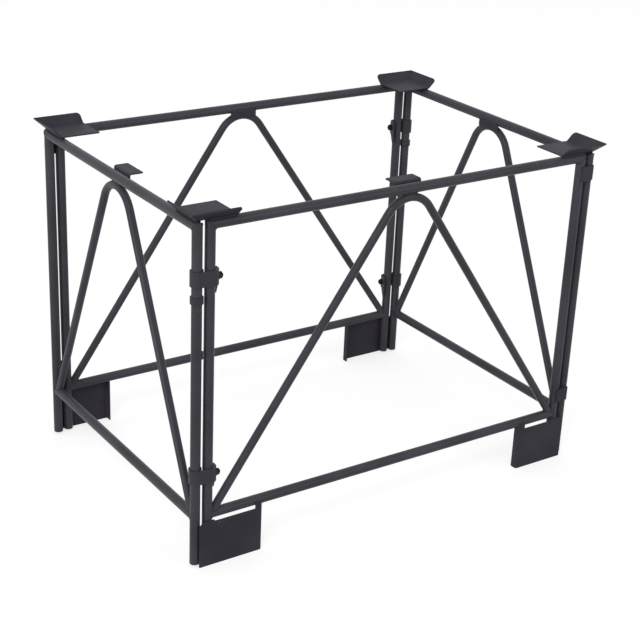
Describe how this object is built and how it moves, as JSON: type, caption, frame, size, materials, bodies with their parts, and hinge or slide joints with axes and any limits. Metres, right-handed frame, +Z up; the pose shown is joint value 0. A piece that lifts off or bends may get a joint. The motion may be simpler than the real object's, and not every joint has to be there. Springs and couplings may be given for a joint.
{
  "type": "pallet collar",
  "caption": "Open stacking collar of round tube with braced panels, corner stacking plates, foot plates and swinging clamp straps at opposite corners.",
  "frame": {"origin": "centre of the collar in plan, at the lower edge of the foot plates", "axes": "+X along the long sides to the right, +Y along the short sides to the back, +Z up"},
  "size_m": [1.317, 0.9114, 0.9817],
  "materials": {
    "tube_coat": "satin dark grey powder coat",
    "plate_coat": "satin dark grey powder coat",
    "strap_coat": "satin dark grey powder coat",
    "screw_black": "blackened steel"
  },
  "bodies": {
    "frame": {"rail_front": "tube_coat", "rail_back": "tube_coat", "rail_left": "tube_coat", "rail_right": "tube_coat", "upright_front_l": "tube_coat", "upright_front_r": "tube_coat", "upright_back_l": "tube_coat", "upright_back_r": "tube_coat", "upright_left_f": "tube_coat", "upright_left_b": "tube_coat", "upright_right_f": "tube_coat", "upright_right_b": "tube_coat", "bottom_front": "tube_coat", "bottom_back": "tube_coat", "bottom_left": "tube_coat", "bottom_right": "tube_coat", "brace_front": "tube_coat", "brace_back": "tube_coat", "brace_left": "tube_coat", "brace_right": "tube_coat", "bracket_front": "plate_coat", "bracket_left": "plate_coat", "gusset_back": "plate_coat", "gusset_right": "plate_coat", "stack_plate_fl": "plate_coat", "stack_plate_fr": "plate_coat", "stack_plate_bl": "plate_coat", "stack_plate_br": "plate_coat", "foot_plate_fl": "plate_coat", "foot_plate_fr": "plate_coat", "foot_plate_bl": "plate_coat", "foot_plate_br": "plate_coat", "tie_fr_upper": "plate_coat", "tie_fr_lower": "plate_coat", "tie_bl_upper": "plate_coat", "tie_bl_lower": "plate_coat", "collar_fl": "strap_coat", "collar_br": "strap_coat"},
    "clamp_fl_upper": {"strap_fl_upper": "strap_coat", "nut_fl_upper": "screw_black", "screw_fl_upper": "screw_black"},
    "clamp_fl_lower": {"strap_fl_lower": "strap_coat", "nut_fl_lower": "screw_black", "screw_fl_lower": "screw_black"},
    "clamp_br_upper": {"strap_br_upper": "strap_coat", "nut_br_upper": "screw_black", "screw_br_upper": "screw_black"},
    "clamp_br_lower": {"strap_br_lower": "strap_coat", "nut_br_lower": "screw_black", "screw_br_lower": "screw_black"}
  },
  "joints": [
    {"name": "swing_fl_upper", "type": "hinge", "parent": "frame", "child": "clamp_fl_upper", "pos_m": [-0.6265, -0.4228, 0.807], "axis": [0, 0, -1], "range_deg": [0, 110]},
    {"name": "swing_fl_lower", "type": "hinge", "parent": "frame", "child": "clamp_fl_lower", "pos_m": [-0.6265, -0.4228, 0.266], "axis": [0, 0, -1], "range_deg": [0, 110]},
    {"name": "swing_br_upper", "type": "hinge", "parent": "frame", "child": "clamp_br_upper", "pos_m": [0.6265, 0.4228, 0.807], "axis": [0, 0, -1], "range_deg": [0, 110]},
    {"name": "swing_br_lower", "type": "hinge", "parent": "frame", "child": "clamp_br_lower", "pos_m": [0.6265, 0.4228, 0.266], "axis": [0, 0, -1], "range_deg": [0, 110]}
  ]
}
